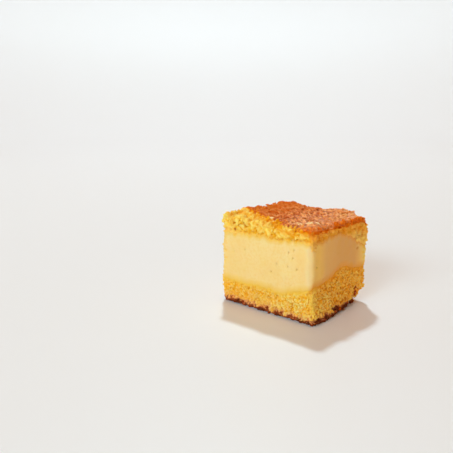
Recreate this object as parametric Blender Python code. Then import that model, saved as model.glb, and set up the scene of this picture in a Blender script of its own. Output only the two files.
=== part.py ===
"""A cut square of tapioca cake: a sponge base, a tapioca cream filling and a browned sponge top.

Blender script, metres, +Z up. The origin is the centre of the base, on the surface that the cake stands on.
The front cut face looks along -Y and the right cut face along +X.
The cake is one block with crumbs and crags on it. Wavy cuts then part it into its three layers.
"""

import math
import random

import bmesh
import bpy
from mathutils import Vector, noise

# Driving sizes of the piece
WIDTH = 0.0576  # along X, at the foot of the front right corner, which flares
DEPTH = 0.0487  # along Y
HEIGHT = 0.0453  # without the crags of the crust
FOOT_FLARE = 0.0022  # how far that foot stands out from the right face
LAYER_GAP = 0.0003  # between neighbouring solids

# How finely the solids are drawn
CELL = 0.0015  # spacing of the relief, across
ROWS = 21  # of relief points, from the base to the crust
ROW_CROWDING = 0.4  # above 0, rows stand closer in the sponges than in the cream
LAYER_CELL = 0.0032  # spacing of points on the faces between layers
MARGIN = 0.003  # how far a layer's cutter reaches past the block
SMOOTH_BELOW = math.radians(50)  # edges with less of a bend are shaded smooth
ON_FLOOR = 1e-6  # a point no higher than this is on the flat base

# Sides. The left and back faces stand back but where they bulge, as (height, spread) of each bulge.
RIGHT_FACE = WIDTH / 2 - FOOT_FLARE  # X of the right cut face
EDGE_ROUNDING = 0.0010
BULGE = 0.0009
BULGES = ((0.029, 0.0075), (0.011, 0.0085))
FLARE_HEIGHT = 0.014
FLARE_ENDS = (-0.011, 0.003)  # Y where the flare begins to fade, and where it has gone

# Faces between the layers. A spot is a smooth local change of a height, as (x, y, radius, amount),
# and a ripple is (amount, length along X, length along Y, phase).
TOP_RIPPLE = (0.0003, 0.033, 0.027, 1.0)
TOP_SPOTS = (
    (-WIDTH / 2, -DEPTH / 2, 0.022, 0.0006),
    (RIGHT_FACE, -DEPTH / 2, 0.006, 0.0010),
    (0.004, DEPTH / 2, 0.003, -0.0012),
    (RIGHT_FACE, DEPTH / 2, 0.005, -0.0018),
    (RIGHT_FACE - 0.010, DEPTH / 2, 0.008, 0.0013),
)
CREAM_TOP = 0.0368
CREAM_RIPPLE = (0.00025, 0.026, 0.030, 2.0)
CREAM_SPOTS = (
    (RIGHT_FACE, -DEPTH / 2, 0.022, 0.0015),
    (RIGHT_FACE, -0.004, 0.012, 0.0022),
    (RIGHT_FACE, DEPTH / 2, 0.011, -0.0075),
)
BASE_THICKNESS = 0.0124
BASE_RIPPLE = (0.00025, 0.024, 0.037, 0.0)
BASE_SPOTS = (
    (RIGHT_FACE, 0.002, 0.0085, 0.0044),
    (RIGHT_FACE, DEPTH / 2, 0.014, 0.0012),
)
BASE_RISE = 0.0061  # more base along the right face
BASE_RISE_FROM = 0.0074  # X where that rise begins
FRONT_SHARE = 0.55  # share of that rise on the front face
FRONT_SHARE_DEPTH = 0.004  # how far back from the front face the rise is whole

# The corner that crumbled away under the right end, as an egg shape
CRUMBLED_CENTRE = (RIGHT_FACE + 0.0005, DEPTH / 2 + 0.0015, 0.0)
CRUMBLED_RADII = (0.0075, 0.0170, 0.0065)

# Where the crust came off with the knife: all that lies in front of a line across the top
BARE_FROM_X = 0.022  # where the line meets the front face
BARE_SLOPE = 0.30  # how fast it goes back towards the left
BARE_DROP = 0.0009
BARE_EDGE = 0.0008  # how far the line wanders, and how wide its slope is

# Relief. Crumbs, pits and wrinkles go in from the face by up to their depth; crags also stand up.
CRUMB_DEPTH = 0.0009
CRUMB_SIZE = 0.0024
CREAM_DEPTH = 0.0001
WRINKLE_DEPTH = 0.0008
WRINKLE_SIZE = 0.0034
CRAGS = 90
CRAG_SEED = 5
CRAG_RADII = (0.0011, 0.0028)
CRAG_HEIGHTS = (-0.0009, 0.0011)

SPONGE_YELLOW = (0.83, 0.50, 0.09, 1.0)
CREAM_PALE = (0.92, 0.70, 0.33, 1.0)
CRUST_BROWN = (0.58, 0.20, 0.04, 1.0)


def smooth_step(low, high, value):
    share = min(1.0, max(0.0, (value - low) / (high - low)))
    return share * share * (3 - 2 * share)


def bump(distance, radius):
    return math.exp(-((distance / radius) ** 2))


def spots_at(spots, x, y):
    return sum(amount * bump(math.hypot(x - sx, y - sy), radius) for sx, sy, radius, amount in spots)


def ripple_at(ripple, x, y):
    amount, length_x, length_y, phase = ripple
    return amount * math.sin(2 * math.pi * (x / length_x + y / length_y) + phase)


def top_height(x, y):
    """Height of the crust before its crags."""
    return HEIGHT + spots_at(TOP_SPOTS, x, y) + ripple_at(TOP_RIPPLE, x, y)


def cream_height(x, y):
    """Height of the face between cream and sponge top."""
    return CREAM_TOP + spots_at(CREAM_SPOTS, x, y) + ripple_at(CREAM_RIPPLE, x, y)


def base_height(x, y):
    """Height of the face between sponge base and cream."""
    from_front = smooth_step(0.0, FRONT_SHARE_DEPTH, y + DEPTH / 2)
    share = FRONT_SHARE + (1 - FRONT_SHARE) * from_front
    rise = BASE_RISE * share * smooth_step(BASE_RISE_FROM, RIGHT_FACE, x)
    hump = spots_at(BASE_SPOTS, x, y) * from_front
    return BASE_THICKNESS + rise + hump + ripple_at(BASE_RIPPLE, x, y)


def left_setback(z):
    """How far the left and back faces stand back at this height."""
    return BULGE * max(0.0, 1 - sum(bump(z - height, spread) for height, spread in BULGES))


def right_setback(y, z):
    """How far the right face stands back from the tip of its flared foot."""
    flare = (1 - smooth_step(0.0, FLARE_HEIGHT, z)) * (1 - smooth_step(*FLARE_ENDS, y))
    return FOOT_FLARE * (1 - flare)


def speckle(point, size):
    """A smooth random value from 0 to 1 that changes over that size."""
    return 0.5 + 0.5 * noise.noise(point / size)


def crags():
    """The blisters and pits of the crust, as spots."""
    draw = random.Random(CRAG_SEED)
    return [
        (
            draw.uniform(-WIDTH / 2, WIDTH / 2),
            draw.uniform(-DEPTH / 2, DEPTH / 2),
            draw.uniform(*CRAG_RADII),
            draw.uniform(*CRAG_HEIGHTS),
        )
        for _ in range(CRAGS)
    ]


def side_relief(point):
    """How deep a cut face goes in here."""
    in_cream = base_height(point.x, point.y) < point.z < cream_height(point.x, point.y)
    return (CREAM_DEPTH if in_cream else CRUMB_DEPTH) * speckle(point, CRUMB_SIZE)


def crust_relief(point, crag_spots):
    """How far the crust stands up here, less than 0 where it goes in or is missing."""
    line = (BARE_FROM_X - point.x) * BARE_SLOPE - DEPTH / 2
    line += BARE_EDGE * (2 * speckle(point, WRINKLE_SIZE) - 1)
    bare = 1 - smooth_step(line - BARE_EDGE / 2, line + BARE_EDGE / 2, point.y)
    wrinkles = WRINKLE_DEPTH * speckle(point, WRINKLE_SIZE)
    return spots_at(crag_spots, point.x, point.y) * (1 - bare / 2) - wrinkles - BARE_DROP * bare


def box_lattice(counts):
    """A unit cube from 0 to 1 with its edges along each axis cut into that many cells."""
    mesh = bmesh.new()
    bmesh.ops.create_cube(mesh, size=1)
    bmesh.ops.translate(mesh, vec=(0.5, 0.5, 0.5), verts=mesh.verts)
    for axis, count in enumerate(counts):
        along = [e for e in mesh.edges if abs((e.verts[0].co - e.verts[1].co)[axis]) > 1e-6]
        bmesh.ops.subdivide_edges(mesh, edges=along, cuts=count - 1, use_grid_fill=True)
    return mesh


def round_edges(point):
    """A point of the plain block, moved in where edges are rounded, and its direction out of the block."""
    half = Vector((WIDTH / 2, DEPTH / 2, HEIGHT / 2))
    middle = Vector((0, 0, HEIGHT / 2))
    core = half - Vector((EDGE_ROUNDING,) * 3)
    inner = Vector(max(-c, min(c, value)) for value, c in zip(point - middle, core))
    outward = (point - middle - inner).normalized()
    return middle + inner + outward * EDGE_ROUNDING, outward


def place(unit, crag_spots):
    """The point of the finished block that belongs to a point of the unit lattice's surface."""
    row = unit.z - ROW_CROWDING * math.sin(2 * math.pi * unit.z) / (2 * math.pi)
    flat = Vector(((unit.x - 0.5) * WIDTH, (unit.y - 0.5) * DEPTH, row * HEIGHT))
    point, outward = round_edges(flat)
    point.z *= top_height(point.x, point.y) / HEIGHT
    left, right = left_setback(point.z), right_setback(point.y, point.z)
    point.x = point.x * (1 - (left + right) / WIDTH) + (left - right) / 2
    point.y = (DEPTH / 2 + point.y) * (1 - left / DEPTH) - DEPTH / 2
    if outward.xy.length > 0:
        point -= outward * side_relief(point)
    if outward.z > 0:
        point.z += outward.z * crust_relief(point, crag_spots)
    point.z = max(0.0, point.z)
    return point


def block_mesh():
    """The whole piece as one closed mesh, with a flat face to rest on."""
    mesh = box_lattice((round(WIDTH / CELL), round(DEPTH / CELL), ROWS))
    crag_spots = crags()
    for vertex in mesh.verts:
        vertex.co = place(vertex.co.copy(), crag_spots)
    resting = [face for face in mesh.faces if all(v.co.z < ON_FLOOR for v in face.verts)]
    bmesh.ops.dissolve_faces(mesh, faces=resting, use_verts=True)
    data = bpy.data.meshes.new("block")
    mesh.to_mesh(data)
    mesh.free()
    return data


def helper_object(name, mesh):
    """An object that only cuts others: wire in the viewport, and never rendered."""
    data = bpy.data.meshes.new(name)
    mesh.to_mesh(data)
    mesh.free()
    helper = bpy.data.objects.new(name, data)
    helper.hide_render = True
    helper.display_type = "WIRE"
    bpy.context.scene.collection.objects.link(helper)
    return helper


def layer_cutter(name, low, high):
    """A slab wider than the block, between two heights given as functions of x and y."""
    wide, deep = WIDTH + 2 * MARGIN, DEPTH + 2 * MARGIN
    mesh = box_lattice((round(wide / LAYER_CELL), round(deep / LAYER_CELL), 1))
    for vertex in mesh.verts:
        x, y = (vertex.co.x - 0.5) * wide, (vertex.co.y - 0.5) * deep
        vertex.co = (x, y, low(x, y) if vertex.co.z < 0.5 else high(x, y))
    bmesh.ops.triangulate(mesh, faces=mesh.faces, quad_method="SHORT_EDGE")
    return helper_object(name, mesh)


def crumbled_corner():
    """The egg shape that is missing under the right end, with crumbs on its surface."""
    mesh = bmesh.new()
    bmesh.ops.create_icosphere(mesh, subdivisions=4, radius=1)
    for vertex in mesh.verts:
        on_egg = Vector(c + r * v for c, r, v in zip(CRUMBLED_CENTRE, CRUMBLED_RADII, vertex.co))
        vertex.co = on_egg + vertex.normal * CRUMB_DEPTH * speckle(on_egg, CRUMB_SIZE)
    return helper_object("crumbled_corner", mesh)


def matte_material(name, colour, roughness):
    material = bpy.data.materials.new(name)
    material.use_nodes = True
    shader = material.node_tree.nodes["Principled BSDF"]
    shader.inputs["Base Color"].default_value = colour
    shader.inputs["Roughness"].default_value = roughness
    shader.inputs["Metallic"].default_value = 0.0
    return material


def cut(layer, operation, helper):
    modifier = layer.modifiers.new(helper.name, "BOOLEAN")
    modifier.operation = operation
    modifier.solver = "EXACT"
    modifier.object = helper


def build_layer(name, block, low, high, material):
    """One layer of the cake: what the block has between two heights."""
    layer = bpy.data.objects.new(name, block.copy())
    bpy.context.scene.collection.objects.link(layer)
    layer.data.materials.append(material)
    layer.data.shade_smooth()
    layer.data.set_sharp_from_angle(angle=SMOOTH_BELOW)
    cut(layer, "INTERSECT", layer_cutter(name + "_cutter", low, high))
    return layer


def main():
    for obj in list(bpy.data.objects):
        bpy.data.objects.remove(obj)
    block = block_mesh()
    half_gap = LAYER_GAP / 2

    base = build_layer(
        "sponge_base",
        block,
        lambda x, y: -MARGIN,
        lambda x, y: base_height(x, y) - half_gap,
        matte_material("sponge", SPONGE_YELLOW, 0.85),
    )
    cut(base, "DIFFERENCE", crumbled_corner())
    build_layer(
        "cream_filling",
        block,
        lambda x, y: base_height(x, y) + half_gap,
        lambda x, y: cream_height(x, y) - half_gap,
        matte_material("cream", CREAM_PALE, 0.45),
    )
    build_layer(
        "sponge_top",
        block,
        lambda x, y: cream_height(x, y) + half_gap,
        lambda x, y: HEIGHT + 2 * MARGIN,
        matte_material("browned_sponge", CRUST_BROWN, 0.7),
    )


main()
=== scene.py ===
import itertools
import math

import bpy
import numpy as np
from mathutils import Matrix, Vector
from mathutils.bvhtree import BVHTree


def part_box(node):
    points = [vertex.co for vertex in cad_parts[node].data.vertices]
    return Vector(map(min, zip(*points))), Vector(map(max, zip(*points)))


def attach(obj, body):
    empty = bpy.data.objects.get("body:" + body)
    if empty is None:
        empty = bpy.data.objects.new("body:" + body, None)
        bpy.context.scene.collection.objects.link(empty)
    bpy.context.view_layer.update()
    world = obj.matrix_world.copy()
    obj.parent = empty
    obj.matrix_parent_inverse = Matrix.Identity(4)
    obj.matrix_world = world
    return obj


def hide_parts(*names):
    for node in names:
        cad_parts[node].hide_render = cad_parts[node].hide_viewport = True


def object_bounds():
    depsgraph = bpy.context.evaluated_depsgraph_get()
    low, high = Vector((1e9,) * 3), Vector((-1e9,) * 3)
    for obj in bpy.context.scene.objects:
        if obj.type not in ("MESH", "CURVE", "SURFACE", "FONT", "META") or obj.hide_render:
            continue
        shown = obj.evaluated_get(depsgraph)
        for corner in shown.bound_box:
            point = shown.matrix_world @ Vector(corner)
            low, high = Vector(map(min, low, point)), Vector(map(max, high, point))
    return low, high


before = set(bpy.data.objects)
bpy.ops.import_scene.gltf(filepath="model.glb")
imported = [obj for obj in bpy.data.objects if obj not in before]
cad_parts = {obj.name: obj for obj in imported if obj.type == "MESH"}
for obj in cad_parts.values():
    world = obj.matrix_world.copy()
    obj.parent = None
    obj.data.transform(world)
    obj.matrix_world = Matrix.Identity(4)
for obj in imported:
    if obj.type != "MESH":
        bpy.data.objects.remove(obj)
cad_low, cad_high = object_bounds()


# Sponge base. It is the lower half of the sponge that the cake is baked from, with the cream set on it.
# A knife sawed it square, so its cut faces are torn crumb. It was baked in a tray: its underside is a
# thin dark crust whose lumps stand out as a foot, and one corner of it crumbled away.

MM = 0.001
COARSER = 1
SPONGE_SPACING = 0.25 * MM * COARSER  # between the points that the crumb is worked out on
RIM = 1.2 * MM  # how far those points go past the piece
MOST_PROUD = 0.6 * MM  # how far a crumb may stand out past the box of the solids
FACE_STEP = 0.6 * MM  # between the lines that feel where a smooth face lies
FACING = 0.7  # the least share of a face's direction along those lines
MOST_TRIANGLES = 190000  # in a piece of crumb
SEAM_REACH = 0.3 * MM  # how far a layer reaches over the gap to the next one
SEAM_SPACING = 0.3 * MM  # between the points of the map of a seam
LOWER_SEAM = ((2.5 * MM, 0.16 * MM, 61), (0.8 * MM, 0.07 * MM, 62))  # waves as (size, height, seed)
CLING = 0.12 * MM  # how wide the neck is that joins a crumb to the sponge


def filled(heights):
    """The map with each unknown height taken from the known ones around it."""
    heights = heights.copy()
    while np.isnan(heights).any():
        wide = np.pad(heights, 1, constant_values=np.nan)
        around = np.stack([wide[:-2, 1:-1], wide[2:, 1:-1], wide[1:-1, :-2], wide[1:-1, 2:]])
        known = ~np.isnan(around)
        count = known.sum(0)
        total = np.where(known, around, 0).sum(0)
        unknown = np.isnan(heights) & (count > 0)
        heights[unknown] = total[unknown] / count[unknown]
    return heights


def smoothed(heights):
    """The map with each height averaged with those beside it."""
    wide = np.pad(heights, 1, mode="edge")
    wide = (wide[:-2] + 2 * wide[1:-1] + wide[2:]) / 4
    return (wide[:, :-2] + 2 * wide[:, 1:-1] + wide[:, 2:]) / 4


def between(heights, coarse, fine):
    """The map of heights over two coarse lines, read at the points of two fine lines."""
    rows = np.array([np.interp(fine[1], coarse[1], row) for row in heights])
    return np.array([np.interp(fine[0], coarse[0], column) for column in rows.T]).T


def lumps(shape, spacing, size, seed, drawn_out=1.0, turn=0.0):
    """A smooth random field with lumps of about that size, of mean 0 and spread 1.

    They may be drawn out along a level line that is turned that far from the x axis.
    """
    waves = np.fft.rfftn(np.random.default_rng(seed).standard_normal(shape))
    lines = [np.fft.fftfreq(count, spacing) for count in shape[:-1]]
    lines.append(np.fft.rfftfreq(shape[-1], spacing))
    first, second, *rest = np.ix_(*lines)
    pitch = (drawn_out * (first * math.cos(turn) + second * math.sin(turn))) ** 2
    pitch = pitch + (second * math.cos(turn) - first * math.sin(turn)) ** 2 + sum(line**2 for line in rest)
    pitch = pitch * (2 * size) ** 2
    field = np.fft.irfftn(waves * pitch * np.exp(-pitch), shape)
    return (field / field.std()).astype(np.float32)


seam_lines = [np.arange(cad_low[k] - 3 * RIM, cad_high[k] + 3 * RIM, SEAM_SPACING) for k in range(2)]
seam_shape = [len(line) for line in seam_lines]


def seam_wave(waves, lines):
    """How far a seam between two layers wanders from its smooth height."""
    heights = sum(height * lumps(seam_shape, SEAM_SPACING, size, seed) for size, height, seed in waves)
    return between(heights, seam_lines, lines)[:, :, None].astype(np.float32)


def rounded(radius, *distances):
    """The space inside all of these faces, with its edges rounded."""
    over = [distance + radius for distance in distances]
    flat = over[0]
    for distance in over[1:]:
        flat = np.maximum(flat, distance)
    corner = sum(np.maximum(distance, 0) ** 2 for distance in over)
    return (np.minimum(flat, 0) + np.sqrt(corner) - radius).astype(np.float32)


def eased(low, high, value):
    """A share that goes smoothly from 0 at low to 1 at high."""
    share = np.clip((value - low) / (high - low), 0, 1)
    return share * share * (3 - 2 * share)


def joined(one, two, width):
    """The space inside either of two fields, with the crease between them filled to about that width."""
    share = np.clip(0.5 + 0.5 * (one - two) / width, 0, 1)
    return one * (1 - share) + two * share - width * share * (1 - share)


class Layer:
    """A box of points around one layer of the cake, with what is worked out at each point."""

    def __init__(self, node, spacing):
        low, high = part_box(node)
        self.spacing = spacing
        self.lines = [np.arange(low[k] - RIM, high[k] + RIM + spacing, spacing) for k in range(3)]
        self.low = np.array([line[0] for line in self.lines])
        self.shape = [len(line) for line in self.lines]
        self.x, self.y, self.z = (grid.astype(np.float32) for grid in np.ix_(*self.lines))
        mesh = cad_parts[node].data
        self.tree = BVHTree.FromPolygons(
            [vertex.co for vertex in mesh.vertices], [face.vertices for face in mesh.polygons]
        )

    def beyond(self, axis, way):
        """How far each point is beyond the smooth face that looks that way along an axis."""
        across = [k for k in range(3) if k != axis]
        coarse = [np.arange(self.lines[k][0], self.lines[k][-1] + FACE_STEP, FACE_STEP) for k in across]
        start, ray = Vector(), Vector()
        start[axis], ray[axis] = way, -way
        heights = np.full([len(line) for line in coarse], np.nan)
        for i, j in np.ndindex(heights.shape):
            start[across[0]], start[across[1]] = coarse[0][i], coarse[1][j]
            place, normal, _, _ = self.tree.ray_cast(start, ray)
            if place is not None and way * normal[axis] > FACING:
                heights[i, j] = place[axis]
        heights = smoothed(filled(heights))
        face = np.expand_dims(between(heights, coarse, [self.lines[k] for k in across]), axis)
        return (way * ((self.x, self.y, self.z)[axis] - face)).astype(np.float32)

    def lumps(self, size, seed, drawn_out=1.0, turn=0.0):
        """A smooth random field at the layer's own points."""
        return lumps(self.shape, self.spacing, size, seed, drawn_out, turn)

    def scatter(self, where, count, seed):
        """That many random places among the points marked, and the random numbers that go on from there."""
        draw = np.random.default_rng(seed)
        marked = np.flatnonzero(where)
        chosen = draw.choice(marked, min(count, len(marked)), replace=False)
        cells = np.stack(np.unravel_index(chosen, self.shape), 1)
        return self.low + (cells + draw.uniform(-0.5, 0.5, cells.shape)) * self.spacing, draw

    def stamped(self, centre, radii, reach):
        """The part of the box around an egg shape, and how far each point there is outside it."""
        first = np.maximum(((centre - radii - reach - self.low) / self.spacing).astype(int), 0)
        last = ((centre + radii + reach - self.low) / self.spacing).astype(int) + 2
        i, j, k = (slice(a, b) for a, b in zip(first, last))
        away = np.sqrt(
            ((self.x[i] - centre[0]) / radii[0]) ** 2
            + ((self.y[:, j] - centre[1]) / radii[1]) ** 2
            + ((self.z[:, :, k] - centre[2]) / radii[2]) ** 2
        )
        return (i, j, k), (away - 1) * radii.min()

    def carve(self, field, centres, radii, width=CLING):
        """Takes an egg-shaped hole out of the field at each centre."""
        for centre, radius in zip(centres, radii):
            part, outside = self.stamped(centre, radius, width)
            field[part] = -joined(-field[part], outside, width)

    def stick(self, field, tone, centres, radii, tones, width=CLING):
        """Joins an egg-shaped crumb to the field at each centre, and notes its tone."""
        for centre, radius, own in zip(centres, radii, tones):
            part, outside = self.stamped(centre, radius, width)
            field[part] = joined(field[part], outside, width)
            tone[part][outside < self.spacing] = own

    def trimmed(self, field):
        """The field without what stands out too far past the box of the solids, or past the points."""
        for grid, line, low, high in zip((self.x, self.y, self.z), self.lines, cad_low, cad_high):
            low, high = max(low - MOST_PROUD, line[1]), min(high + MOST_PROUD, line[-2])
            field = np.maximum(field, np.maximum(low - grid, grid - high).astype(np.float32))
        return field

    def read(self, field, points):
        """The field's values at these points."""
        place = (points - self.low) / self.spacing
        cell = np.clip(place.astype(int), 0, np.array(self.shape) - 2)
        share = np.clip(place - cell, 0, 1)
        total = 0
        for corner in np.ndindex(2, 2, 2):
            weight = np.prod(np.where(corner, share, 1 - share), axis=1)
            total = total + weight * field[tuple((cell + corner).T)]
        return total


CELL_CORNERS = list(np.ndindex(2, 2, 2))
CELL_EDGES = [(axis, corner) for axis in range(3) for corner in CELL_CORNERS if not corner[axis]]


def sheets_of_cells():
    """For each way that a cell's corners can be inside, which sheet of the surface crosses each edge."""
    sheets = np.zeros((256, len(CELL_EDGES)), int)
    ends = [{corner, corner[:axis] + (1,) + corner[axis + 1 :]} for axis, corner in CELL_EDGES]
    for way in range(1, 255):
        inside = {corner for k, corner in enumerate(CELL_CORNERS) if way >> k & 1}
        sheet = {edge: edge for edge in range(len(ends)) if len(ends[edge] & inside) == 1}
        for axis, side in np.ndindex(3, 2):
            on_face = [edge for edge in sheet if all(corner[axis] == side for corner in ends[edge])]
            for one, two in itertools.combinations(on_face, 2):
                if len(on_face) == 2 or ends[one] & ends[two] & inside:
                    old, new = sheet[two], sheet[one]
                    sheet = {edge: new if own == old else own for edge, own in sheet.items()}
        for edge, own in sheet.items():
            sheets[way, edge] = sorted(set(sheet.values())).index(own)
    return sheets


SHEETS = sheets_of_cells()


def skin(layer, field):
    """The surface where the field is 0, as points and four-cornered faces."""
    inside = field < 0
    cells = [size - 1 for size in field.shape]
    way = np.zeros(cells, np.uint8)
    for k, corner in enumerate(CELL_CORNERS):
        way += inside[tuple(slice(c, c + n) for c, n in zip(corner, cells))].astype(np.uint8) << k
    mixed = np.argwhere((way > 0) & (way < 255))
    own_way = way[tuple(mixed.T)]
    count = SHEETS[own_way].max(1) + 1
    first = np.cumsum(count) - count
    number = np.full(cells, -1, np.int32)
    number[tuple(mixed.T)] = first
    total, hits = np.zeros((count.sum(), 3)), np.zeros(count.sum())
    for edge, (axis, corner) in enumerate(CELL_EDGES):
        step = np.eye(3, dtype=int)[axis]
        a = field[tuple((mixed + corner).T)]
        b = field[tuple((mixed + corner + step).T)]
        crossed = (a < 0) != (b < 0)
        share = a[crossed] / (a[crossed] - b[crossed])
        met = (first + SHEETS[own_way, edge])[crossed]
        total[met] += corner + share[:, None] * step
        hits[met] += 1
    points = layer.low + (np.repeat(mixed, count, axis=0) + total / hits[:, None]) * layer.spacing
    faces = []
    for axis in range(3):
        u, v = (np.eye(3, dtype=int)[(axis + turn) % 3] for turn in (1, 2))
        step = np.eye(3, dtype=int)[axis]
        one = tuple(slice(1, n - s) for n, s in zip(field.shape, step + u + v))
        two = tuple(slice(1 + s, n - s2) for n, s, s2 in zip(field.shape, step, u + v))
        a, b = inside[one], inside[two]
        edges = np.argwhere(a != b) + 1
        ring = []
        for offset in (u + v, v, 0 * u, u):
            cell, edge = tuple((edges - offset).T), CELL_EDGES.index((axis, tuple(offset)))
            ring.append(number[cell] + SHEETS[way[cell], edge])
        ring = np.stack(ring, 1)
        outward = a[tuple((edges - 1).T)]
        ring[~outward] = ring[~outward][:, ::-1]
        faces.append(ring)
    return points, np.concatenate(faces)


def whole(points, faces):
    """The largest connected part of the surface, without loose grains and closed bubbles."""
    label = np.arange(len(points))
    while True:
        lowest = label.copy()
        np.minimum.at(lowest, faces.ravel(), np.repeat(label[faces].min(1), 4))
        lowest = lowest[lowest]
        if (lowest == label).all():
            break
        label = lowest
    kept = label == np.bincount(label).argmax()
    renumber = np.cumsum(kept) - 1
    return points[kept], renumber[faces[kept[faces].all(1)]]


def egg_radii(draw, count, sizes, stretch, tallness=1.0):
    """Random radii of egg shapes, of sizes given in mm, each stretched by its own amount every way."""
    return draw.uniform(*sizes, (count, 1)) * draw.uniform(*stretch, (count, 3)) * (1, 1, tallness) * MM


def solid(name, layer, field, most_triangles):
    """A closed piece with the field's surface, thinned to that many triangles where it is plainest."""
    points, faces = whole(*skin(layer, field))
    mesh = bpy.data.meshes.new(name)
    mesh.vertices.add(len(points))
    mesh.vertices.foreach_set("co", points.ravel())
    mesh.loops.add(faces.size)
    mesh.loops.foreach_set("vertex_index", faces.ravel())
    mesh.polygons.add(len(faces))
    mesh.polygons.foreach_set("loop_start", np.arange(0, faces.size, 4))
    mesh.update(calc_edges=True)
    piece = bpy.data.objects.new(name, mesh)
    bpy.context.scene.collection.objects.link(piece)
    thinner = piece.modifiers.new("thinner", "DECIMATE")
    thinner.ratio = min(1, most_triangles / (2 * len(faces)))
    thinned = bpy.data.meshes.new_from_object(piece.evaluated_get(bpy.context.evaluated_depsgraph_get()))
    piece.modifiers.clear()
    piece.data = thinned
    bpy.data.meshes.remove(mesh)
    thinned.validate()
    thinned.name = name
    thinned.shade_smooth()
    return piece


def note(piece, layer, **fields):
    """Keeps a reading of each field on the piece's points, where its material finds it by name."""
    points = np.zeros(len(piece.data.vertices) * 3)
    piece.data.vertices.foreach_get("co", points)
    for name, field in fields.items():
        values = layer.read(np.broadcast_to(field, layer.shape), points.reshape(-1, 3))
        noted = piece.data.attributes.new(name, "FLOAT", "POINT")
        noted.data.foreach_set("value", values.astype(np.float32))


def colour(*levels):
    """A colour given as it looks on a screen, from 0 to 255, as the light that it reflects."""
    shares = [level / 255 for level in levels]
    return (*(((share + 0.055) / 1.055) ** 2.4 if share > 0.04 else share / 12.92 for share in shares), 1)


def node(tree, kind, inputs=(), **settings):
    """A shader node, its inputs given as values or as outputs of other nodes."""
    made = tree.nodes.new(kind)
    for name, value in settings.items():
        setattr(made, name, value)
    for name, value in dict(inputs).items():
        if isinstance(value, bpy.types.NodeSocket):
            tree.links.new(value, made.inputs[name])
        else:
            made.inputs[name].default_value = value
    return made


def reading(tree, name, low, high, start=0.0, end=1.0):
    """What was noted on the piece's points under that name, turned into start at low and end at high."""
    noted = node(tree, "ShaderNodeAttribute", attribute_name=name)
    limits = {"From Min": low, "From Max": high, "To Min": start, "To Max": end}
    return node(tree, "ShaderNodeMapRange", {"Value": noted.outputs["Fac"], **limits}).outputs["Result"]


def patches(tree, size, low, high):
    """A random pattern of patches of about that size, from 0 at its low values to 1 at its high ones."""
    place = node(tree, "ShaderNodeTexCoord").outputs["Object"]
    pattern = node(tree, "ShaderNodeTexNoise", {"Vector": place, "Scale": 0.5 / size, "Detail": 2.0})
    limits = {"From Min": low, "From Max": high}
    return node(tree, "ShaderNodeMapRange", {"Value": pattern.outputs["Fac"], **limits}).outputs["Result"]


def ramp(tree, share, *stops):
    """The colour for a share from 0 to 1, between stops given as (share, colour)."""
    made = node(tree, "ShaderNodeValToRGB", {"Fac": share})
    elements = made.color_ramp.elements
    while len(elements) < len(stops):
        elements.new(0.5)
    for element, (position, own) in zip(elements, stops):
        element.position, element.color = position, own
    return made.outputs["Color"]


def mixed(tree, share, first, second):
    """The first colour turned into the second by that share."""
    made = node(tree, "ShaderNodeMix", data_type="RGBA")
    for socket, value in ((made.inputs[0], share), (made.inputs[6], first), (made.inputs[7], second)):
        if isinstance(value, bpy.types.NodeSocket):
            tree.links.new(value, socket)
        else:
            socket.default_value = value
    return made.outputs[2]


def product(tree, first, second):
    """Two values multiplied, each a number or an output of a node."""
    return node(tree, "ShaderNodeMath", {0: first, 1: second}, operation="MULTIPLY").outputs[0]


def towards(tree, first, second, name, low, high, most=1.0):
    """The first colour, turned into the second as what was noted goes from low to high."""
    return mixed(tree, reading(tree, name, low, high, 0.0, most), first, second)


def with_patches(tree, first, second, size, low, high, most=1.0):
    """The first colour with patches of the second in it."""
    return mixed(tree, product(tree, patches(tree, size, low, high), most), first, second)


GLOSS_TINT = (1.0, 0.78, 0.58, 1)  # the sheen of the butter in the crumb
GLOW_FADE = (-0.2 * MM, -1.8 * MM)  # the glow fades out towards a seam, or it would show as a dark line


def food(name, make_colour, roughness, gloss, glow, glow_radii, bump_size, bump_depth):
    """A material of baked or set food: matt or slightly moist, and light shines a little way into it."""
    material = bpy.data.materials.new(name)
    material.use_nodes = True
    tree = material.node_tree
    place = node(tree, "ShaderNodeTexCoord").outputs["Object"]
    pattern = node(tree, "ShaderNodeTexNoise", {"Vector": place, "Scale": 0.5 / bump_size, "Detail": 3.0})
    relief = node(
        tree, "ShaderNodeBump", {"Height": pattern.outputs["Fac"], "Distance": bump_depth, "Strength": 1.0}
    )
    shader = tree.nodes["Principled BSDF"]
    tree.links.new(make_colour(tree), shader.inputs["Base Color"])
    tree.links.new(relief.outputs["Normal"], shader.inputs["Normal"])
    tree.links.new(reading(tree, "seam", *GLOW_FADE, 0.0, glow), shader.inputs["Subsurface Weight"])
    for socket, value in (
        ("Roughness", roughness),
        ("Specular IOR Level", gloss),
        ("Specular Tint", GLOSS_TINT),
        ("Subsurface Radius", glow_radii),
        ("Subsurface Scale", MM),
    ):
        shader.inputs[socket].default_value = value
    return material


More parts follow.
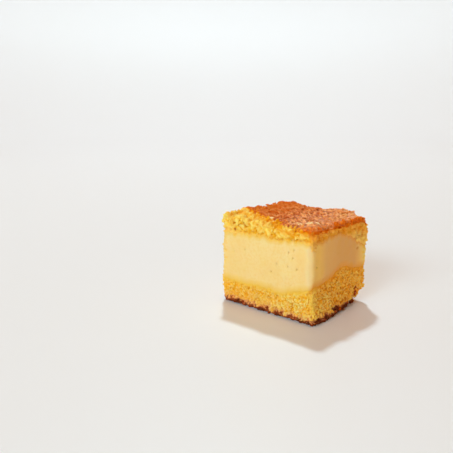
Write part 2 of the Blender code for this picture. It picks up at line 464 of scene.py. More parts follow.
CRUMB_YELLOW = colour(255, 195, 60)
CRUMB_DEEP = colour(224, 138, 14)  # painted shade in its hollows, and in random patches
CRUMB_PALE = colour(255, 220, 130)  # painted highlight where it stands out; also of pale crumbs, and painted glow at the back end of the cream's right face
CRUMB_ORANGE = colour(246, 160, 18)  # in patches, and more to the left
CRUMB_TAN = colour(253, 196, 118)  # here and there near the foot
CRUMB_BROWN = colour(196, 108, 40)  # and between those
RIGHT_ORANGE = colour(255, 162, 26)  # of the crumb on the right face, darker and warmer as painted shade,
RIGHT_DEEP = colour(214, 118, 8)  # with more painted shade in its hollows,
RIGHT_GOLD = colour(255, 182, 64)  # painted highlight where it stands out,
RIGHT_DARK = colour(204, 102, 4)  # in its dark
RIGHT_PALE = colour(255, 206, 102)  # and pale patches, partly its own mottling and partly painted shade and highlight,
RIGHT_LIT_EDGE = colour(255, 204, 88)  # and painted light near the front edge
SOAKED_PALE = colour(246, 194, 82)  # of the crumb and cream where they meet, on the front
SOAKED_GOLD = colour(240, 160, 48)  # and on the right face, warmer there as painted shade
BAKED_DARK = colour(102, 42, 20)  # of the underside and the foot,
BAKED_BROWN = colour(154, 64, 28)  # over that
BAKED_TAN = colour(232, 154, 92)  # and where it goes over into the crumb
SPECK_BROWN = colour(166, 64, 12)
ROUND_EDGE = (-1.6 * MM, -0.4 * MM)  # depths under the right face, from the front's colours to its own painted-shade colours

UPRIGHT_ROUNDING, LOWER_ROUNDING = 2.0 * MM, 1.0 * MM  # of the edges between the sides, and under them
COARSE_RELIEF, MIDDLING_RELIEF = 0.17, 0.16  # heights of the lumps of the torn crumb, in mm
FINE_RELIEF = 0.05 * MM
SOAKED_DEPTH = 2.5 * MM  # how far down from the cream the crumb is smoothed
FOOT_HEIGHT = 4.2 * MM
FOOT_PROUD = 0.15 * MM
FOOT_RELIEF = 0.22 * MM
PORES, PORE_SIZES = 4000, (0.15, 0.38)  # how many, and the range of their radii in mm
GRAINS, GRAIN_SIZES = 5600, (0.18, 0.42)
FOOT_LUMPS, FOOT_LUMP_SIZES, FOOT_LUMP_HEIGHTS = 640, (0.5, 1.1), (0.3, 3.4)
SMEARED_FROM = (24 * MM, 15 * MM)  # (x, y) of where the knife closed the pores

# Spots that show, as (x, y, z) of their middles in mm
DARK_SPECKS = ((26.7, 14.4, 9.4), (26.5, 15.2, 6.9), (26.3, 14.4, 5.2), (27.9, -4.9, 2.6), (27.2, 0.5, 1.8))
PALE_PATCHES = ((26.8, -10.5, 9.0), (27.4, -9.0, 5.0), (27.5, -14.0, 7.6), (19.9, -24.2, 3.0))
CORNER_CRUMBS = ((25.2, 17.0, 4.8), (25.2, 14.2, 3.2), (25.4, 11.4, 1.6), (25.9, 22.8, 9.0))
CORNER_CRUMB_COUNTS = (7, 9, 7, 7)
FOOT_DARK = (
    (20.3, -23.8, 1.2), (25.4, -23.8, 1.0), (-2.0, -23.8, 0.6), (-17.0, -23.8, 1.2), (9.2, -23.8, 0.6),
    (27.3, -4.7, 2.6), (27.8, -13.9, 1.6), (26.6, 4.9, 2.2), (28.0, -19.0, 1.2), (26.2, 9.0, 1.6),
    (27.3, -3.0, 1.8), (27.4, -6.2, 2.0), (27.6, -12.2, 1.8), (26.8, 3.2, 1.6), (26.6, 6.6, 2.2),
    (27.9, -20.8, 1.4), (27.2, -3.8, 3.8), (27.3, -5.4, 3.4), (27.3, -2.2, 3.0), (27.2, -1.0, 2.0),
)
FOOT_PALE = (
    (20.2, -23.8, 3.6), (23.6, -23.8, 2.4), (4.3, -23.8, 2.0), (12.5, -23.8, 2.0), (27.6, -9.6, 3.0),
)
DARKER, PALER = -3.2 * MM, 2.4 * MM  # how much lower or higher on the foot these look
FOOT_SPOT_REACH = 1.3 * MM

base = Layer("sponge_base", SPONGE_SPACING)
right = base.beyond(0, 1)
upright = rounded(UPRIGHT_ROUNDING, right, base.beyond(0, -1), base.beyond(1, 1), base.beyond(1, -1))
outside = rounded(LOWER_ROUNDING, upright, base.beyond(2, -1))
seam = base.beyond(2, 1) - SEAM_REACH - seam_wave(LOWER_SEAM, base.lines[:2])
coarse, middling = base.lumps(1.5 * MM, 1), base.lumps(0.7 * MM, 2)
firm = eased(0.0, SOAKED_DEPTH, -seam)
foot = 1 - eased(0.5 * FOOT_HEIGHT, FOOT_HEIGHT, base.z)
crumb = outside + MM * firm * (COARSE_RELIEF * coarse + MIDDLING_RELIEF * middling) - FOOT_PROUD * foot
crumb += FOOT_RELIEF * foot * np.clip(base.lumps(2.2 * MM, 7), -1.6, 1.6)
tone = np.zeros(base.shape, np.float32)  # of stuck crumbs: over 0 paler, under -1.2 baked dark

# the pores and grains of the torn faces
shell = (np.abs(crumb) < SPONGE_SPACING) & (seam < 0.2 * MM) & (base.z > 0.8 * MM)
porous = shell & (seam + 0.6 * MM * coarse < -1.0 * MM)
smeared = (base.x > SMEARED_FROM[0]) & (base.y > SMEARED_FROM[1])
pores, draw = base.scatter(porous & ~smeared, PORES, 3)
base.carve(crumb, pores, egg_radii(draw, len(pores), PORE_SIZES, (0.8, 1.3)))
grains, draw = base.scatter(porous, GRAINS, 4)
radii = egg_radii(draw, len(grains), GRAIN_SIZES, (0.75, 1.25))
base.stick(crumb, tone, grains, radii, draw.uniform(-1, 1, len(grains)))

# the lumps of baked crust round the foot
sunk_shell = (crumb > -0.8 * MM) & (crumb < -0.4 * MM)
lumpy = sunk_shell & (base.z > FOOT_LUMP_HEIGHTS[0] * MM) & (base.z < FOOT_LUMP_HEIGHTS[1] * MM)
foot_lumps, draw = base.scatter(lumpy, FOOT_LUMPS, 5)
radii = egg_radii(draw, len(foot_lumps), FOOT_LUMP_SIZES, (0.8, 1.2))
base.stick(crumb, tone, foot_lumps, radii, draw.uniform(-1, 0.6, len(foot_lumps)))

# the specks and pale patches, as (places, crumbs at each, how far they spread, their size, their tone)
for spots, count, reach, size, own in (
    (DARK_SPECKS, 5, 0.4, 0.42, -3.0),
    (PALE_PATCHES, 16, 1.5, 0.32, 2.0),
):
    draw = np.random.default_rng(8)
    for spot in spots:
        flat = (0.2, 1, 1) if spot[0] > 26 else (1, 1, 1)  # those on the right face stay close to it
        places = np.array(spot) + draw.normal(0, reach, (count, 3)) * flat
        base.stick(crumb, tone, places * MM, draw.uniform(0.6, 1.1, (count, 3)) * size * MM, [own] * count)

# the loose crumbs where the corner crumbled away
draw = np.random.default_rng(10)
for spot, count in zip(CORNER_CRUMBS, CORNER_CRUMB_COUNTS):
    places = np.array(spot) + draw.normal(0, 1, (count, 3)) * (0.5, 1.1, 0.8)
    radii = draw.uniform(0.5, 0.9, (count, 3)) * MM
    base.stick(crumb, tone, places * MM, radii, draw.uniform(-1, 1, count))
crumb += FINE_RELIEF * base.lumps(0.35 * MM, 6)
crumb = base.trimmed(np.maximum(np.maximum(crumb, seam), -base.z))

# a height on the foot, with its edge made ragged, by which the crumb goes from baked dark to yellow
ragged = 0.35 * base.lumps(3.5 * MM, 9) + 0.3 * coarse + 0.5 * middling + 0.3 * base.lumps(0.4 * MM, 11)
crust = base.z - MM * ragged
for spots, change in ((FOOT_DARK, DARKER), (FOOT_PALE, PALER)):
    for spot in spots:
        x, y, z = (grid - place * MM for grid, place in zip((base.x, base.y, base.z), spot))
        crust += change * np.exp(-(x**2 + y**2 + z**2) / FOOT_SPOT_REACH**2)
sponge_base = solid("sponge_base_crumb", base, crumb, MOST_TRIANGLES)
note(sponge_base, base, depth=outside, tone=tone, crust=crust, seam=seam)
note(sponge_base, base, right=right, across=base.x, along=base.y)


def base_colour(tree):
    depth = reading(tree, "depth", -0.7 * MM, 0.45 * MM)
    on_right = reading(tree, "right", *ROUND_EDGE)
    # darker in the hollows and paler where the crumb stands out: painted shade and highlight
    tint = ramp(tree, depth, (0.1, CRUMB_DEEP), (0.55, CRUMB_YELLOW), (1.0, CRUMB_PALE))
    tint = with_patches(tree, tint, CRUMB_ORANGE, 2.5 * MM, 0.45, 0.7, 0.5)
    tint = with_patches(tree, tint, CRUMB_DEEP, 0.5 * MM, 0.5, 0.65, 0.35)
    near_foot = reading(tree, "crust", 8 * MM, 4 * MM, 0.0, 0.8)
    tint = with_patches(tree, tint, CRUMB_TAN, 0.6 * MM, 0.45, 0.65, near_foot)
    near_foot = reading(tree, "crust", 7 * MM, 4 * MM, 0.0, 0.6)
    tint = with_patches(tree, tint, CRUMB_BROWN, 0.5 * MM, 0.5, 0.62, near_foot)
    tint = towards(tree, tint, CRUMB_ORANGE, "across", 18 * MM, -10 * MM, 0.4)
    # the right face has its own copies of the crumb colours, darker and warmer: painted shade, with painted
    # light near the front edge
    right_face_shade = ramp(tree, depth, (0.2, RIGHT_DEEP), (0.6, RIGHT_ORANGE), (1.0, RIGHT_GOLD))
    right_face_shade = with_patches(tree, right_face_shade, RIGHT_DARK, 0.7 * MM, 0.54, 0.64, 0.9)
    right_face_shade = with_patches(tree, right_face_shade, RIGHT_PALE, 0.9 * MM, 0.52, 0.64, 0.8)
    right_face_shade = towards(tree, right_face_shade, RIGHT_LIT_EDGE, "along", -16 * MM, -22 * MM, 0.85)
    tint = mixed(tree, product(tree, on_right, 0.85), tint, right_face_shade)
    tint = towards(tree, tint, mixed(tree, on_right, CRUMB_PALE, RIGHT_PALE), "tone", 0.2, 1.6, 0.9)
    tint = towards(tree, tint, mixed(tree, on_right, SOAKED_PALE, SOAKED_GOLD), "seam", -2.6 * MM, -0.1 * MM)
    baked = ramp(
        tree,
        reading(tree, "crust", 0.0, FOOT_HEIGHT),
        (0.2, BAKED_DARK),
        (0.32, BAKED_BROWN),
        (0.48, BAKED_BROWN),
        (0.7, BAKED_TAN),
    )
    baked = towards(tree, baked, BAKED_TAN, "tone", 0.3, 1.0, 0.5)
    # the foot is darker on the right face: painted shade
    baked = mixed(tree, product(tree, on_right, 0.4), baked, BAKED_DARK)
    tint = towards(tree, tint, baked, "crust", 4.2 * MM, 3.0 * MM)
    return towards(tree, tint, SPECK_BROWN, "tone", -1.2, -2.0)


sponge_base.data.materials.append(
    food(
        "base_sponge_crumb",
        base_colour,
        roughness=0.85,
        gloss=0.1,
        glow=0.9,
        glow_radii=(1.2, 1.0, 0.6),
        bump_size=0.25 * MM,
        bump_depth=0.04 * MM,
    )
)
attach(sponge_base, "root")
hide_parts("sponge_base")


# Cream filling. It is tapioca cream, poured over the base and set, then cut with the sponge.
# The knife left it smooth, with a soft moist sheen, small pits where bubbles were, and rounded edges.

CREAM_SPACING = 0.3 * MM * COARSER
CREAM_TRIANGLES = 110000
CREAM_ROUNDING = 2.6 * MM  # of the edges between the sides
WIDE_WAVES, FINE_WAVES = 0.07, 0.025  # heights of the waves that the knife left, in mm
CREAM = colour(248, 213, 147)
CREAM_WARM = colour(246, 202, 124)  # in faint patches
CREAM_EDGE_LIGHT = colour(240, 213, 158)  # painted light on the front along its right edge
CREAM_GOLD = colour(255, 199, 98)  # painted glow near the edges of the right face; also low in the top sponge, where it meets the cream
CREAM_SHADE = colour(239, 185, 102)  # painted shade between those and its middle
CREAM_DEEP_SHADE = colour(232, 172, 90)  # deepest painted shade, in the middle of it
# painted shade in the pits
CREAM_PIT_SHADE = colour(210, 162, 78)
CREAM_DOT = colour(216, 134, 24)
UPPER_SEAM = ((2.0 * MM, 0.36 * MM, 71), (0.8 * MM, 0.17 * MM, 72))  # waves as (size, height, seed)
PITS, PIT_SIZES = 90, (0.2, 0.42)  # how many, and the range of their radii in mm
FRONT_PITS = (
    (9.4, 37.2), (13.7, 32.8), (16.6, 34.3), (16.2, 30.4), (18.6, 25.5), (13.3, 25.9), (-13.0, 29.4),
    (6.7, 26.0),
)  # (x, z) of those that show most on the front face, in mm
FRONT_PIT_INSET = 0.2  # how far behind the front their middles are, in mm
DOT_MIDDLE, DOT_SIZE = (15.2, 29.5), (1.5, 0.8)  # (y, z) of a wide brown pit on the right face, in mm
DOT_DEPTH = 0.25 * MM
EDGE_WIDTH = 4 * MM  # of the strips beside the hidden edges where crumbs stick
EDGE_CRUMBS, EDGE_CRUMB_SIZES = 70, (0.2, 0.5)

cream = Layer("cream_filling", CREAM_SPACING)
right = cream.beyond(0, 1)
outside = rounded(CREAM_ROUNDING, right, cream.beyond(0, -1), cream.beyond(1, 1), cream.beyond(1, -1))
seam_below = seam_wave(LOWER_SEAM, cream.lines[:2]) + cream.beyond(2, -1) - SEAM_REACH
seam_above = cream.beyond(2, 1) - SEAM_REACH - seam_wave(UPPER_SEAM, cream.lines[:2])
seams = np.maximum(seam_below, seam_above)
body = outside + MM * (WIDE_WAVES * cream.lumps(4 * MM, 21) + FINE_WAVES * cream.lumps(1.2 * MM, 22))
tone = np.zeros(cream.shape, np.float32)  # of stuck crumbs: the higher, the yellower

# the pits all over, those that show most, and the wide brown one
pits, draw = cream.scatter((np.abs(body) < CREAM_SPACING) & (seams < -0.5 * MM), PITS, 23)
cream.carve(body, pits, egg_radii(draw, len(pits), PIT_SIZES, (0.7, 1.2)))
pits = np.array([(x, cad_low.y / MM + FRONT_PIT_INSET, z) for x, z in FRONT_PITS])
cream.carve(body, pits * MM, draw.uniform(0.3, 0.42, (len(pits), 3)) * (1, 1, 1.7) * MM)
away = zip((cream.y, cream.z), DOT_MIDDLE, DOT_SIZE)
along, up = ((grid / MM - middle) / size for grid, middle, size in away)
dot = np.exp(-(along**2 + up**2)) * (cream.x > 20 * MM)
body += DOT_DEPTH * dot

# the crumbs that the knife dragged along the hidden edges
for x, y in ((cad_high.x, cad_high.y), (cad_low.x, cad_low.y), (cad_low.x, cad_high.y)):
    near_edge = (np.abs(cream.x - x) < EDGE_WIDTH) & (np.abs(cream.y - y) < EDGE_WIDTH)
    near_edge = near_edge & (np.abs(body) < CREAM_SPACING) & (seams < 0)
    crumbs, draw = cream.scatter(near_edge, EDGE_CRUMBS, 24)
    radii = egg_radii(draw, len(crumbs), EDGE_CRUMB_SIZES, (0.7, 1.2))
    cream.stick(body, tone, crumbs, radii, draw.uniform(0.4, 1, len(crumbs)), 0.3 * MM)
cream_filling = solid("set_cream", cream, cream.trimmed(np.maximum(body, seams)), CREAM_TRIANGLES)
note(cream_filling, cream, depth=outside, tone=tone, right=right, along=cream.y, dot=dot)
note(cream_filling, cream, seam=seams, seam_below=seam_below, seam_above=seam_above)


def cream_colour(tree):
    tint = with_patches(tree, CREAM, CREAM_WARM, 7 * MM, 0.35, 0.7, 0.5)
    tint = with_patches(tree, tint, CREAM_WARM, 0.6 * MM, 0.45, 0.65, 0.6)
    # paler near the right edge: painted light
    tint = towards(tree, tint, CREAM_EDGE_LIGHT, "right", -4.0 * MM, -1.5 * MM, 0.8)
    # the cream's right face is painted for the light there: shade over its middle, glow near both edges,
    # pale crumb colour at its back end
    right_face_shade = ramp(
        tree,
        reading(tree, "along", cad_low.y, cad_high.y),
        (0.02, CREAM),
        (0.08, CREAM_GOLD),
        (0.14, CREAM_GOLD),
        (0.25, CREAM_SHADE),
        (0.5, CREAM_DEEP_SHADE),
        (0.76, CREAM_DEEP_SHADE),
        (0.88, CREAM_GOLD),
        (0.96, CRUMB_PALE),
        (1.0, CRUMB_PALE),
    )
    tint = towards(tree, tint, right_face_shade, "right", -1.4 * MM, -0.1 * MM)
    soaked = mixed(tree, reading(tree, "right", *ROUND_EDGE), SOAKED_PALE, SOAKED_GOLD)
    tint = towards(tree, tint, soaked, "seam_below", -3.4 * MM, -0.1 * MM)
    tint = towards(tree, tint, soaked, "seam_above", -2.2 * MM, -0.1 * MM)
    tint = towards(tree, tint, CRUMB_YELLOW, "tone", 0.1, 1.0, 0.7)
    # darker in the pits: painted shade
    tint = towards(tree, tint, CREAM_PIT_SHADE, "depth", -0.25 * MM, -0.65 * MM)
    return towards(tree, tint, CREAM_DOT, "dot", 0.2, 0.7, 0.8)


cream_filling.data.materials.append(
    food(
        "set_tapioca_cream",
        cream_colour,
        roughness=0.5,
        gloss=0.3,
        glow=1.0,
        glow_radii=(1.6, 1.3, 0.9),
        bump_size=0.4 * MM,
        bump_depth=0.02 * MM,
    )
)
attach(cream_filling, "root")
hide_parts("cream_filling")


# Sponge top. It is the thin upper half of the sponge, baked open, so its upper side is a browned skin
# with blisters, pits and pale flakes. The knife tore the skin off along the front, where crumb shows.

BARE_FROM_X = 22 * MM  # where the edge of the skin meets the front face
BARE_SLOPE = 0.30  # how fast that edge goes back towards the left
BARE_WANDER = 0.7 * MM
SKIN_THICKNESS = 2.1 * MM
SKIN_GRAIN = math.radians(-33)  # which way the ridges of the skin run, from the x axis
TOP_ROUNDING = 0.8 * MM
LEFT_SUNK = 0.6 * MM  # of the left face, as its crumbs stand out from it
CORNER_RAISED = 0.9 * MM  # of the crumbs at the front left corner
COARSE_TEARS, FINE_TEARS = 0.28, 0.14  # heights of the lumps of the torn crumb, in mm
RIDGES, BLISTERS, SWELLS = 0.25, 0.17, 0.14  # heights of what the skin has, in mm
CRACKS, SKIN_PROUD = 0.16, 0.14  # how deep its cracks are, and how far it stands out between them, in mm
TORN_PITS, TORN_PIT_SIZES = 660, (0.25, 0.7)  # how many, and the range of their radii in mm
CHUNKS, CHUNK_SIZES = 1100, (0.35, 0.9)
SMALL_CRUMBS, SMALL_CRUMB_SIZES = 3500, (0.15, 0.32)
POCKS, POCK_SIZES = 500, (0.2, 0.5)
FLAKES, FLAKE_SIZES = 500, (0.3, 0.9)

SKIN_BROWN = colour(208, 90, 16)
SKIN_DARK = colour(146, 50, 4)  # painted shade in its hollows and cracks, and in patches
SKIN_PALE = colour(253, 170, 100)  # painted highlight on its ridges; also in patches, pale crumbs and painted sheen towards the right
CRUST_SHEEN = colour(255, 182, 116)  # painted sheen, in specks at the far right and back
SKIN_ORANGE = colour(206, 88, 0)  # of the whole skin at its left end
SKIN_EDGE = colour(230, 110, 0)  # of its edges
LUMP_ORANGE = colour(220, 100, 0)  # of the lumps on its right edge
LUMP_HIGHLIGHT = colour(248, 146, 50)  # and the patches of painted highlight on those
OPEN_YELLOW = colour(255, 186, 30)  # of the torn crumb,
OPEN_DEEP = colour(232, 152, 12)  # painted shade in its hollows, and in patches,
OPEN_PALE = colour(255, 212, 106)  # painted highlight where it stands out, and in patches and pale crumbs
OPEN_SHADED_ORANGE = colour(246, 152, 30)  # and on the right face, as painted shade
TOASTED = colour(240, 152, 8)  # of the crumb right under the skin, on the front,
TOASTED_PALE = colour(255, 184, 80)  # on the right face, as painted light there,
TOASTED_DEEP = colour(226, 116, 6)  # and at the front right corner
FLAKE_PALE = colour(255, 216, 160)
CRUST_TINT = (1.0, 0.6, 0.36, 1)  # of the sheen on the skin
DULL, SHINY = 0.9, 0.36  # roughness of the crumb, and of the skin at its right end

# Spots that show, as (x, y) or (x, y, z) of their middles in mm
FALLEN = (26.5, -22.6, 37.0)  # of the crumbs smeared down the cream at the front right corner
HELD_AT_SEAM = (25.9, 23.4, 35.5)  # of those on the far right edge
FALLEN_CRUMBS, HELD_CRUMBS = 150, 40
EDGE_LUMPS = (
    (26.6, 9.6, 43.7), (26.6, 12.0, 44.2), (26.5, 15.4, 43.9), (26.4, 17.8, 43.4), (26.6, 0.5, 45.0),
    (26.6, -5.0, 44.9),
)
LUMPS_EACH = 10
PALE_CRUMBS = ((-3.0, -15.8), (13.6, -16.7), (18.9, -16.1), (20.1, -11.3), (16.2, -17.4))
BACK_CRUMBS = ((6.0, 23.4), (10.0, 23.6), (14.0, 23.4), (18.0, 23.5), (22.0, 23.2))
CRUMBS_EACH = 6

top = Layer("sponge_top", SPONGE_SPACING)
over, right = top.beyond(2, 1), top.beyond(0, 1)
left = top.beyond(0, -1) + LEFT_SUNK
over -= CORNER_RAISED * eased(-12 * MM, -22 * MM, top.x) * eased(-6 * MM, -14 * MM, top.y)
outside = rounded(TOP_ROUNDING, right, left, top.beyond(1, 1), top.beyond(1, -1), over)
seam = seam_wave(UPPER_SEAM, top.lines[:2]) + top.beyond(2, -1) - SEAM_REACH
wander = top.lumps(1.4 * MM, 41)

# the skin, and the torn crumb where it is gone
front_line = cad_low.y + (BARE_FROM_X - top.x) * BARE_SLOPE + BARE_WANDER * wander
skinned = eased(-0.4 * MM, 0.4 * MM, top.y - front_line)
skinned *= eased(-SKIN_THICKNESS - 0.3 * MM, -SKIN_THICKNESS + 0.3 * MM, over + 0.5 * MM * wander)
firm = eased(0.0, 2.0 * MM, -seam)
torn = firm * (COARSE_TEARS * top.lumps(2.4 * MM, 42) + FINE_TEARS * top.lumps(1.0 * MM, 43))
ridges, swells = top.lumps(1.1 * MM, 44, 2.6, SKIN_GRAIN), top.lumps(3.0 * MM, 52)
ridges *= 0.4 + 0.7 * eased(-1.2, 1.2, swells)
cracks = np.exp(-((top.lumps(1.8 * MM, 54) / 0.3) ** 2))
blisters = BLISTERS * top.lumps(0.55 * MM, 45)
blistered = RIDGES * ridges + blisters + SWELLS * swells + CRACKS * cracks - SKIN_PROUD
crumb = outside + MM * (torn * (1 - skinned) + blistered * skinned)
tone = np.zeros(top.shape, np.float32)  # of stuck crumbs: over 0 paler, under -1.2 baked dark

# the pits, chunks and small crumbs of the torn part
shell = (np.abs(crumb) < SPONGE_SPACING) & (seam < 0.2 * MM)
open_shell = shell & (skinned < 0.5) & (seam + 0.4 * MM * wander < -1.3 * MM)
torn_pits, draw = top.scatter(open_shell & (top.x > -21 * MM), TORN_PITS, 46)
top.carve(crumb, torn_pits, egg_radii(draw, len(torn_pits), TORN_PIT_SIZES, (0.8, 1.3)), 0.3 * MM)
chunks, draw = top.scatter(open_shell, CHUNKS, 47)
radii = egg_radii(draw, len(chunks), CHUNK_SIZES, (0.75, 1.25))
top.stick(crumb, tone, chunks, radii, draw.uniform(-1, 1, len(chunks)), 0.35 * MM)
crumby = (np.abs(crumb) < SPONGE_SPACING) & (skinned < 0.5) & (seam < -1.0 * MM)
small, draw = top.scatter(crumby, SMALL_CRUMBS, 55)
radii = draw.uniform(*SMALL_CRUMB_SIZES, (len(small), 3)) * MM
top.stick(crumb, tone, small, radii, draw.uniform(-0.5, 1, len(small)))

# the pocks and flakes of the skin, the lumps on its edge and the crumbs that lie on it
pocks, draw = top.scatter(shell & (skinned > 0.8), POCKS, 48)
top.carve(crumb, pocks, egg_radii(draw, len(pocks), POCK_SIZES, (0.7, 1.4)))
flakes, draw = top.scatter(shell & (skinned > 0.8), FLAKES, 49)
radii = egg_radii(draw, len(flakes), FLAKE_SIZES, (0.6, 1.3), 0.4)
top.stick(crumb, tone, flakes, radii, draw.uniform(-0.5, 1, len(flakes)))
draw = np.random.default_rng(53)
for spot in EDGE_LUMPS:
    places = np.array(spot) + draw.normal(0, 1, (LUMPS_EACH, 3)) * (0.15, 0.9, 0.5)
    radii = draw.uniform(0.45, 1.0, (LUMPS_EACH, 3)) * MM
    top.stick(crumb, tone, places * MM, radii, draw.uniform(-4, -2, LUMPS_EACH))
height = (top.z - over)[:, :, 0]
for spots, own in ((PALE_CRUMBS, 2.0), (BACK_CRUMBS, 0.8)):
    for spot in spots:
        across = draw.normal(0, 0.6, (CRUMBS_EACH, 2)) + spot
        cells = ((across * MM - top.low[:2]) / SPONGE_SPACING).round().astype(int)
        places = np.column_stack([across * MM, height[tuple(cells.T)]])
        radii = draw.uniform(0.35, 0.8, (CRUMBS_EACH, 3)) * (1, 1, 0.7) * MM
        top.stick(crumb, tone, places, radii, [own] * CRUMBS_EACH)
crumb += FINE_RELIEF * top.lumps(0.35 * MM, 50)
crumb = np.maximum(crumb, seam)

# the crumbs that hang over the cream
draw = np.random.default_rng(51)
fallen = np.array(FALLEN) + draw.normal(0, 1, (FALLEN_CRUMBS, 3)) * (0.15, 1.2, 2.0)
fallen[:, 1] = np.maximum(fallen[:, 1], cad_low.y / MM + 0.3)
radii = draw.uniform(0.15, 0.4, (FALLEN_CRUMBS, 3)) * MM
top.stick(crumb, tone, fallen * MM, radii, draw.uniform(-1, 0.5, FALLEN_CRUMBS))
held = np.array(HELD_AT_SEAM) + draw.normal(0, 1, (HELD_CRUMBS, 3)) * (0.4, 0.4, 1.3)
radii = draw.uniform(0.3, 0.6, (HELD_CRUMBS, 3)) * MM
top.stick(crumb, tone, held * MM, radii, draw.uniform(-1, 0.5, HELD_CRUMBS))
sponge_top = solid("sponge_top_crumb", top, top.trimmed(crumb), MOST_TRIANGLES)
behind = top.y - front_line
from_skin = 0.4 * np.maximum(front_line - top.y, 0) + np.maximum(-over - 1.0 * MM, 0)
note(sponge_top, top, depth=outside, tone=tone, seam=seam, over=over, right=right, across=top.x, along=top.y)
note(sponge_top, top, skinned=skinned, behind=behind, from_skin=from_skin, ridges=ridges, cracks=cracks)


def open_crumb_colour(tree):
    depth = reading(tree, "depth", -0.7 * MM, 0.7 * MM)
    # darker in the hollows and paler where the crumb stands out: painted shade and highlight
    tint = ramp(tree, depth, (0.0, OPEN_DEEP), (0.5, OPEN_YELLOW), (1.0, OPEN_PALE))
    tint = with_patches(tree, tint, OPEN_DEEP, 2 * MM, 0.45, 0.65, 0.6)
    tint = with_patches(tree, tint, OPEN_PALE, 2.4 * MM, 0.5, 0.65, 0.25)
    tint = towards(tree, tint, OPEN_PALE, "tone", 0.2, 1.0, 0.4)
    # the right face has its own copies of the crumb colours, set for the light that falls there: painted
    # shade and light
    on_right = reading(tree, "right", -1.6 * MM, -0.6 * MM, 0.0, 0.7)
    tint = mixed(tree, on_right, tint, OPEN_SHADED_ORANGE)
    near_cream = reading(tree, "seam", -3.0 * MM, -1.0 * MM)
    tint = with_patches(tree, tint, OPEN_DEEP, 1.4 * MM, 0.45, 0.55, near_cream)
    soaked = mixed(tree, reading(tree, "right", *ROUND_EDGE), SOAKED_PALE, SOAKED_GOLD)
    tint = towards(tree, tint, soaked, "seam", -1.5 * MM, -0.4 * MM)
    tint = towards(tree, tint, CREAM_GOLD, "over", -5.5 * MM, -8.0 * MM)
    toasted = mixed(tree, on_right, TOASTED, TOASTED_PALE)
    near_skin = reading(tree, "from_skin", 3.4 * MM, 1.0 * MM)
    tint = with_patches(tree, tint, toasted, 1.8 * MM, 0.35, 0.5, near_skin)
    at_corner = product(tree, on_right, reading(tree, "along", -15 * MM, -21 * MM))
    at_corner = product(tree, at_corner, reading(tree, "over", -5.0 * MM, -2.5 * MM))
    return mixed(tree, at_corner, tint, TOASTED_DEEP)


def skin_colour(tree):
    # dark in the furrows and cracks, pale on the ridges: painted shade and highlight
    high = reading(tree, "ridges", 1.1, -1.1)
    tint = ramp(tree, high, (0.1, SKIN_DARK), (0.5, SKIN_BROWN), (0.9, SKIN_PALE))
    tint = towards(tree, tint, SKIN_DARK, "cracks", 0.2, 0.9, 0.5)
    tint = with_patches(tree, tint, SKIN_PALE, 0.7 * MM, 0.5, 0.66, 0.6)
    tint = with_patches(tree, tint, SKIN_DARK, 0.8 * MM, 0.5, 0.7, 0.6)
    tint = with_patches(tree, tint, SKIN_DARK, 1.7 * MM, 0.48, 0.62, 0.45)
    tint = towards(tree, tint, SKIN_PALE, "tone", 0.2, 1.0, 0.6)
    tint = towards(tree, tint, SKIN_ORANGE, "across", 8 * MM, -20 * MM, 0.85)
    # paler towards the right and the back: painted sheen
    tint = towards(tree, tint, SKIN_PALE, "across", 2 * MM, 22 * MM, 0.35)
    far_right_sheen = reading(tree, "across", 4 * MM, 18 * MM, 0.0, 0.65)
    far_right_sheen = product(tree, far_right_sheen, reading(tree, "along", 3 * MM, 15 * MM))
    tint = with_patches(tree, tint, CRUST_SHEEN, 0.6 * MM, 0.45, 0.58, far_right_sheen)
    at_edge = reading(tree, "right", -2.6 * MM, -0.8 * MM, 0.0, 0.8)
    tint = with_patches(tree, tint, SKIN_EDGE, 1.2 * MM, 0.35, 0.55, at_edge)
    tint = towards(tree, tint, SKIN_EDGE, "behind", 2.5 * MM, 0.0, 0.6)
    return towards(tree, tint, SKIN_EDGE, "over", -0.8 * MM, -1.4 * MM)


def top_colour(tree):
    tint = towards(tree, open_crumb_colour(tree), skin_colour(tree), "skinned", 0.2, 0.8)
    tint = towards(tree, tint, FLAKE_PALE, "tone", 1.2, 1.8)
    lump_tint = with_patches(tree, LUMP_ORANGE, SKIN_DARK, 0.6 * MM, 0.5, 0.65, 0.5)
    lump_tint = with_patches(tree, lump_tint, LUMP_HIGHLIGHT, 0.8 * MM, 0.5, 0.65, 0.5)
    return towards(tree, tint, lump_tint, "tone", -1.2, -2.0)


sponge_top.data.materials.append(
    food(
        "browned_sponge_top",
        top_colour,
        roughness=DULL,
        gloss=0.3,
        glow=0.8,
        glow_radii=(1.3, 1.1, 0.7),
        bump_size=0.25 * MM,
        bump_depth=0.05 * MM,
    )
)
browned = sponge_top.data.materials[0].node_tree
shine = product(browned, reading(browned, "across", -8 * MM, 12 * MM), reading(browned, "skinned", 0.3, 0.9))
shine = product(browned, shine, reading(browned, "over", -1.2 * MM, -0.5 * MM))
shine = product(browned, shine, reading(browned, "tone", -2.0, -1.2))
roughness = node(browned, "ShaderNodeMapRange", {"Value": shine, "To Min": DULL, "To Max": SHINY})
browned.links.new(roughness.outputs["Result"], browned.nodes["Principled BSDF"].inputs["Roughness"])
browned.nodes["Principled BSDF"].inputs["Specular Tint"].default_value = CRUST_TINT
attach(sponge_top, "root")
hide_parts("sponge_top")


# Floor. A plain pale surface for the cake to stand on.
# It is flat under the cake and sweeps up all round, so that no edge shows.

FLOOR_PALE = colour(236, 234, 240)
FLOOR_ROUGHNESS = 0.5
FLAT_RADIUS = 0.8  # these two in metres
SWEEP_RADIUS = 0.5
SWEEP_STEPS = 12
FLOOR_SIDES = 96

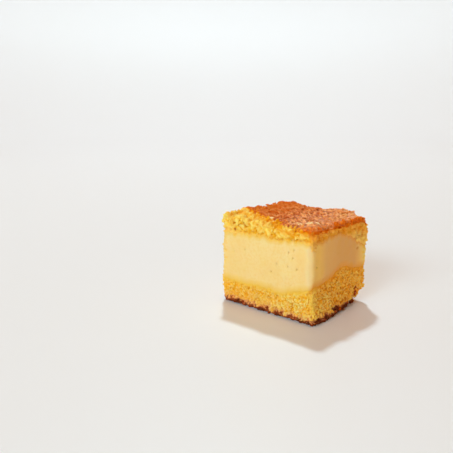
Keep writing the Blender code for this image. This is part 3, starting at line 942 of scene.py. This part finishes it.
profile = [(FLAT_RADIUS, 0.0)]
for step in range(1, SWEEP_STEPS + 1):
    turn = math.pi / 2 * step / SWEEP_STEPS
    profile.append((FLAT_RADIUS + SWEEP_RADIUS * math.sin(turn), SWEEP_RADIUS * (1 - math.cos(turn))))
floor_points = [(0.0, 0.0, 0.0)]
for reach, height in profile:
    for side in range(FLOOR_SIDES):
        turn = 2 * math.pi * side / FLOOR_SIDES
        floor_points.append((reach * math.cos(turn), reach * math.sin(turn), height))
floor_faces = [(0, 1 + side, 1 + (side + 1) % FLOOR_SIDES) for side in range(FLOOR_SIDES)]
for ring in range(len(profile) - 1):
    for side in range(FLOOR_SIDES):
        a, b = (1 + ring * FLOOR_SIDES + (side + turn) % FLOOR_SIDES for turn in (0, 1))
        floor_faces.append((a, a + FLOOR_SIDES, b + FLOOR_SIDES, b))
floor_mesh = bpy.data.meshes.new("floor")
floor_mesh.from_pydata(floor_points, [], floor_faces)
floor_mesh.shade_smooth()
floor = bpy.data.objects.new("floor", floor_mesh)
bpy.context.scene.collection.objects.link(floor)
floor_paint = bpy.data.materials.new("pale_floor")
floor_paint.use_nodes = True
floor_shader = floor_paint.node_tree.nodes["Principled BSDF"]
floor_shader.inputs["Base Color"].default_value = FLOOR_PALE
floor_shader.inputs["Roughness"].default_value = FLOOR_ROUGHNESS
floor_mesh.materials.append(floor_paint)


# Light. A wide soft lamp stands in front, a small one high behind on the left throws the shadow
# forward to the right, and the room gives a little warm light from all round.

SKY = (1.0, 0.48, 0.12, 1)
SKY_STRENGTH = 0.42
LAMPS = (  # as (name, place, width, power, colour)
    ("front_lamp", (0.2, -1.5, 0.6), 1.0, 32.4, (0.64, 0.93, 1.0)),
    ("high_lamp", (-0.573, 0.593, 1.371), 0.12, 14.0, (0.71, 0.94, 1.0)),
)

for name, place, size, power, tint in LAMPS:
    lamp = bpy.data.lights.new(name, "AREA")
    lamp.shape = "DISK"
    lamp.size, lamp.energy, lamp.color = size, power, tint
    stand = bpy.data.objects.new(name, lamp)
    stand.location = place
    stand.rotation_euler = (-Vector(place)).to_track_quat("-Z", "Y").to_euler()
    bpy.context.scene.collection.objects.link(stand)
sky = bpy.data.worlds.new("sky")
sky.use_nodes = True
sky.node_tree.nodes["Background"].inputs["Color"].default_value = SKY
sky.node_tree.nodes["Background"].inputs["Strength"].default_value = SKY_STRENGTH
bpy.context.scene.world = sky
bpy.context.scene.view_settings.view_transform = "Standard"


# Camera. It looks at the front right corner from a little above, as in the photograph. It is then turned
# a little away, so that the cake stands low in the frame and to the right.

AIM = Vector((-0.65 * MM, -0.25 * MM, 22.5 * MM))
DISTANCE = 320.9 * MM
AZIMUTH, ELEVATION = math.radians(36.3), math.radians(15.8)
TURN, TILT = math.radians(6.37), math.radians(2.75)  # away from the cake, to the left and up

back = Vector(
    (math.sin(AZIMUTH) * math.cos(ELEVATION), -math.cos(AZIMUTH) * math.cos(ELEVATION), math.sin(ELEVATION))
)
ahead = Matrix.Rotation(TURN, 3, "Z") @ -back
ahead = Matrix.Rotation(TILT, 3, ahead.cross(Vector((0, 0, 1)))) @ ahead
camera = bpy.data.objects.new("camera", bpy.data.cameras.new("camera"))
camera.data.lens, camera.data.sensor_width = 50, 36
camera.data.clip_start, camera.data.clip_end = 0.01, 20
camera.location = AIM + back * DISTANCE
camera.rotation_euler = ahead.to_track_quat("-Z", "Y").to_euler()
bpy.context.scene.collection.objects.link(camera)
bpy.context.scene.camera = camera
